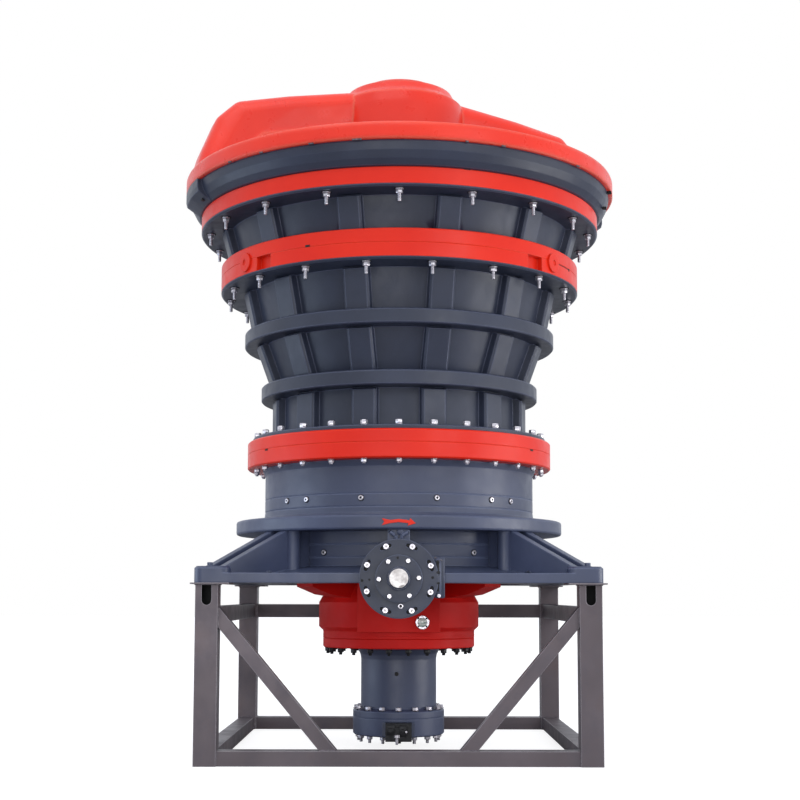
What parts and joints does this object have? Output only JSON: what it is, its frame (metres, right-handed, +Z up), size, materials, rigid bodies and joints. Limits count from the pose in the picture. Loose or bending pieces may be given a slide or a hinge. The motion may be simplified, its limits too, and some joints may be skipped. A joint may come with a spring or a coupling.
{
  "type": "gyratory crusher",
  "caption": "Gyratory crusher with ribbed bolted shells, a two-armed spider, a hub with a hydraulic cylinder and a side countershaft, on a square welded steel stand.",
  "frame": {"origin": "on the floor under the crushing axis, at the middle of the stand", "axes": "+Z up along the crushing axis; the countershaft points along -Y, +X to the right seen from it"},
  "size_m": [3.28, 3.28, 5.054],
  "materials": {
    "dark_paint": "satin blue-grey machine enamel over cast steel",
    "red_paint": "satin orange-red enamel over cast steel",
    "hub_red": "satin deep red enamel over cast steel",
    "stand_steel": "bare mill-scale tube, lightly rusted",
    "liner_steel": "rough cast manganese steel",
    "bright_steel": "machined bright steel",
    "fitting_dark": "black fittings and connectors"
  },
  "bodies": {
    "frame": {"stand_posts": "stand_steel", "stand_base_beams": "stand_steel", "stand_top_beams": "stand_steel", "stand_braces": "stand_steel", "foot_pads": "dark_paint", "base_casting": "dark_paint", "bottom_shell": "dark_paint", "bottom_flange": "red_paint", "bottom_liner": "liner_steel", "gear_housing": "hub_red", "hub_bottom_plate": "hub_red", "hydraulic_cylinder": "dark_paint", "cylinder_cover": "dark_paint", "valve_block": "fitting_dark", "sight_port": "bright_steel", "pinion_housing": "dark_paint", "bearing_cover": "dark_paint", "low_joint_flange": "red_paint", "lower_top_shell": "dark_paint", "mid_joint_flange": "red_paint", "lower_concave": "liner_steel", "upper_mid_flange": "red_paint", "upper_top_shell": "dark_paint", "top_joint_flange": "red_paint", "upper_concave": "liner_steel", "alignment_bosses": "red_paint", "spider_skirt": "dark_paint", "spider": "red_paint", "spider_cap": "red_paint", "main_shaft": "bright_steel", "head_core": "liner_steel", "mantle": "liner_steel", "head_nut": "liner_steel", "rotation_arrow": "red_paint"},
    "countershaft": {"countershaft": "bright_steel"}
  },
  "joints": [
    {"name": "countershaft_spin", "type": "hinge", "parent": "frame", "child": "countershaft", "pos_m": [0, -1, 1.227], "axis": [0, -1, 0], "continuous": true}
  ]
}
